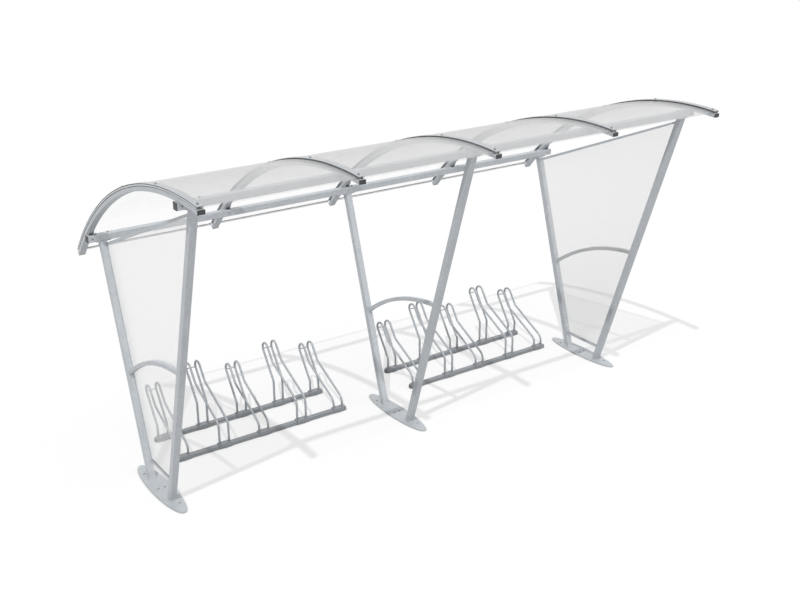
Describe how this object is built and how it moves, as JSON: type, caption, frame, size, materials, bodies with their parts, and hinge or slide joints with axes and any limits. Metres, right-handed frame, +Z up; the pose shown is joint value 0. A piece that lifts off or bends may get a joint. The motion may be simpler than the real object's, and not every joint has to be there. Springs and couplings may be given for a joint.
{
  "type": "bicycle shelter",
  "caption": "Open bicycle shelter: leaning tube posts on oval base plates, curved clear roof on bent ribs, clear side panels, and floor racks with bent-rod wheel holders.",
  "frame": {"origin": "centre of the middle base plate's underside, on the ground", "axes": "+X along the shelter's length, -Y towards the open front where bicycles enter, +Z up"},
  "size_m": [4.442, 2.2011, 2.4984],
  "materials": {
    "galvanised": "hot-dip galvanised, satin",
    "rack_steel": "hot-dip galvanised, satin",
    "rack_cap": "moulded, matt",
    "strip_metal": "mill, satin",
    "bracket_steel": "hot-dip galvanised, satin",
    "zinc_bolt": "zinc plated",
    "black_plug": "moulded, matt",
    "gasket_rubber": "extruded, matt",
    "roof_sheet": "clear polycarbonate",
    "side_panel": "clear polycarbonate"
  },
  "bodies": {
    "root": {"base_plate_left": "galvanised", "base_plate_middle": "galvanised", "base_plate_right": "galvanised", "beam_bolts": "zinc_bolt", "beam_front": "galvanised", "beam_plugs": "black_plug", "beam_rear": "galvanised", "cover_strip_1": "strip_metal", "cover_strip_2": "strip_metal", "cover_strip_3": "strip_metal", "cover_strip_4": "strip_metal", "cover_strip_5": "strip_metal", "edge_trims": "strip_metal", "gaskets_lower": "gasket_rubber", "gaskets_upper": "gasket_rubber", "head_plates": "galvanised", "panel_channel_low_left": "galvanised", "panel_channel_low_right": "galvanised", "panel_channel_top_left": "galvanised", "panel_channel_top_right": "galvanised", "post_front_left": "galvanised", "post_front_middle": "galvanised", "post_front_right": "galvanised", "post_rear_left": "galvanised", "post_rear_middle": "galvanised", "post_rear_right": "galvanised", "rack_bolts": "zinc_bolt", "rack_end_caps": "rack_cap", "rack_left_bar_front": "rack_steel", "rack_left_bar_rear": "rack_steel", "rack_left_holder_1": "rack_steel", "rack_left_holder_2": "rack_steel", "rack_left_holder_3": "rack_steel", "rack_left_holder_4": "rack_steel", "rack_left_holder_5": "rack_steel", "rack_right_bar_front": "rack_steel", "rack_right_bar_rear": "rack_steel", "rack_right_holder_1": "rack_steel", "rack_right_holder_2": "rack_steel", "rack_right_holder_3": "rack_steel", "rack_right_holder_4": "rack_steel", "rack_right_holder_5": "rack_steel", "rack_saddles": "rack_steel", "rib_1": "galvanised", "rib_2": "galvanised", "rib_3": "galvanised", "rib_4": "galvanised", "rib_5": "galvanised", "rib_brackets": "bracket_steel", "rib_plugs": "black_plug", "roof_sheet_1": "roof_sheet", "roof_sheet_2": "roof_sheet", "roof_sheet_3": "roof_sheet", "roof_sheet_4": "roof_sheet", "side_panel_left": "side_panel", "side_panel_right": "side_panel", "strip_bolts": "zinc_bolt", "tie_arch_left": "galvanised", "tie_arch_middle": "galvanised", "tie_arch_right": "galvanised"}
  },
  "joints": []
}
